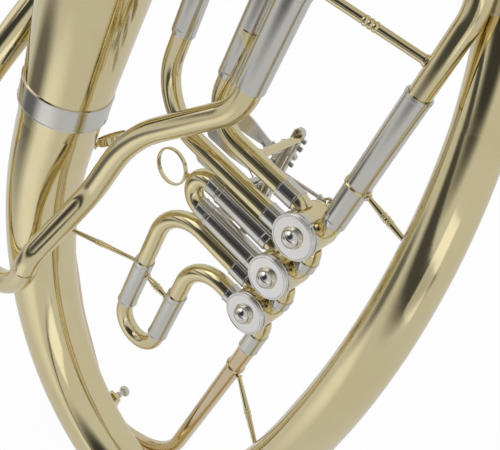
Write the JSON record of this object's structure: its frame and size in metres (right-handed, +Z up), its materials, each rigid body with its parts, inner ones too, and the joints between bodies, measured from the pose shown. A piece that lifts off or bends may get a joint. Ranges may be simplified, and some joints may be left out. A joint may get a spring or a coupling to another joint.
{
  "type": "oval rotary horn",
  "caption": "Brass horn in an upright oval with a flared bell, rotary valves worked by side levers and rods, pull-out valve and tuning slides, leadpipe with lyre box and mouthpiece receiver.",
  "frame": {"origin": "second valve's axis in the plane of the valve caps' faces", "axes": "+Z up towards the bell's mouth, +Y away from the side with the valve caps, +X towards the right side of the oval"},
  "size_m": [0.4112, 0.2352, 0.6632],
  "materials": {
    "brass": "lacquered, polished",
    "rose_brass": "lacquered, polished",
    "nickel": "polished nickel silver",
    "steel": "bright steel"
  },
  "bodies": {
    "horn": {"bell": "brass", "main_bow": "brass", "upper_branch": "brass", "return_bow": "brass", "inlet_elbow": "brass", "first_slide_outer_leg": "brass", "first_slide_inner_leg": "brass", "third_slide_inner_leg": "brass", "third_slide_outer_leg": "brass", "valve_link_1_2": "brass", "valve_link_2_3": "brass", "lyre_box": "brass", "thumb_ring": "brass", "bow_ferrule": "nickel", "branch_ferrule": "nickel", "bell_ferrule": "nickel", "mouthpiece_receiver": "nickel", "second_slide_upper_leg": "nickel", "second_slide_lower_leg": "nickel", "tuning_inlet_leg": "nickel", "tuning_outlet_leg": "nickel", "upper_bow_brace": "nickel", "lower_bow_brace": "nickel", "stem_brace": "nickel", "lever_saddle": "nickel", "leadpipe": "rose_brass", "lever_hinge_rod": "steel", "valve_casing_1": "brass", "valve_cap_1": "nickel", "bearing_plate_1": "brass", "stop_plate_1": "brass", "lever_spring_1": "steel", "valve_casing_2": "brass", "valve_cap_2": "nickel", "bearing_plate_2": "brass", "stop_plate_2": "brass", "lever_spring_2": "steel", "valve_casing_3": "brass", "valve_cap_3": "nickel", "bearing_plate_3": "brass", "stop_plate_3": "brass", "lever_spring_3": "steel"},
    "lever_1": {"valve_lever_1": "nickel"},
    "link_1": {"link_rod_1": "nickel"},
    "valve_1": {"rotor_1": "brass", "stop_arm_1": "brass"},
    "lever_2": {"valve_lever_2": "nickel"},
    "link_2": {"link_rod_2": "nickel"},
    "valve_2": {"rotor_2": "brass", "stop_arm_2": "brass"},
    "lever_3": {"valve_lever_3": "nickel"},
    "link_3": {"link_rod_3": "nickel"},
    "valve_3": {"rotor_3": "brass", "stop_arm_3": "brass"},
    "first_slide": {"first_valve_slide": "brass"},
    "second_slide": {"second_valve_slide": "brass"},
    "third_slide": {"third_valve_slide": "brass"},
    "tuning_slide": {"main_tuning_slide": "brass"},
    "lyre_screw": {"lyre_screw": "nickel"}
  },
  "joints": [
    {"name": "lever_1_press", "type": "hinge", "parent": "horn", "child": "lever_1", "pos_m": [-0.0634, 0.07207, -0.0245], "axis": [0, 0, 1], "range_deg": [0, 17.8], "stiffness_Nm_per_rad": 0.15, "springref_deg": -28.65, "deforming": ["lever_spring_1"]},
    {"name": "link_1_pivot", "type": "hinge", "parent": "lever_1", "child": "link_1", "pos_m": [-0.06835, 0.04045, -0.0253], "axis": [0, 0, 1], "range_deg": [-17.8, 0]},
    {"name": "valve_1_turn", "type": "hinge", "parent": "horn", "child": "valve_1", "pos_m": [0, 0.015, -0.038], "axis": [0, 1, 0], "range_deg": [0, 90]},
    {"name": "lever_2_press", "type": "hinge", "parent": "horn", "child": "lever_2", "pos_m": [-0.0634, 0.07207, 0], "axis": [0, 0, 1], "range_deg": [0, 17.8], "stiffness_Nm_per_rad": 0.15, "springref_deg": -28.65, "deforming": ["lever_spring_2"]},
    {"name": "link_2_pivot", "type": "hinge", "parent": "lever_2", "child": "link_2", "pos_m": [-0.06835, 0.04045, 0.0032], "axis": [0, 0, 1], "range_deg": [-17.8, 0]},
    {"name": "valve_2_turn", "type": "hinge", "parent": "horn", "child": "valve_2", "pos_m": [0, 0.015, 0], "axis": [0, 1, 0], "range_deg": [0, 90]},
    {"name": "lever_3_press", "type": "hinge", "parent": "horn", "child": "lever_3", "pos_m": [-0.0634, 0.07207, 0.0245], "axis": [0, 0, 1], "range_deg": [0, 17.8], "stiffness_Nm_per_rad": 0.15, "springref_deg": -28.65, "deforming": ["lever_spring_3"]},
    {"name": "link_3_pivot", "type": "hinge", "parent": "lever_3", "child": "link_3", "pos_m": [-0.06835, 0.04045, 0.0317], "axis": [0, 0, 1], "range_deg": [-17.8, 0]},
    {"name": "valve_3_turn", "type": "hinge", "parent": "horn", "child": "valve_3", "pos_m": [0, 0.015, 0.038], "axis": [0, 1, 0], "range_deg": [0, 90]},
    {"name": "first_slide_pull", "type": "slide", "parent": "horn", "child": "first_slide", "axis": [0, 0, -1], "range_m": [0, 0.045]},
    {"name": "second_slide_pull", "type": "slide", "parent": "horn", "child": "second_slide", "axis": [-1, 0, 0], "range_m": [0, 0.034]},
    {"name": "third_slide_pull", "type": "slide", "parent": "horn", "child": "third_slide", "axis": [0, 0, 1], "range_m": [0, 0.05]},
    {"name": "tuning_slide_pull", "type": "slide", "parent": "horn", "child": "tuning_slide", "axis": [0, 0, 1], "range_m": [0, 0.04]},
    {"name": "lyre_screw_turn", "type": "hinge", "parent": "horn", "child": "lyre_screw", "pos_m": [-0.0768, 0.0347, -0.29644], "axis": [0, 1, 0], "range_deg": [0, 1080]}
  ],
  "couplings": [
    {"joint": "link_1_pivot", "follows": "lever_1_press", "ratio": -1},
    {"joint": "valve_1_turn", "follows": "lever_1_press", "ratio": 5.056},
    {"joint": "link_2_pivot", "follows": "lever_2_press", "ratio": -1},
    {"joint": "valve_2_turn", "follows": "lever_2_press", "ratio": 5.056},
    {"joint": "link_3_pivot", "follows": "lever_3_press", "ratio": -1},
    {"joint": "valve_3_turn", "follows": "lever_3_press", "ratio": 5.056}
  ]
}
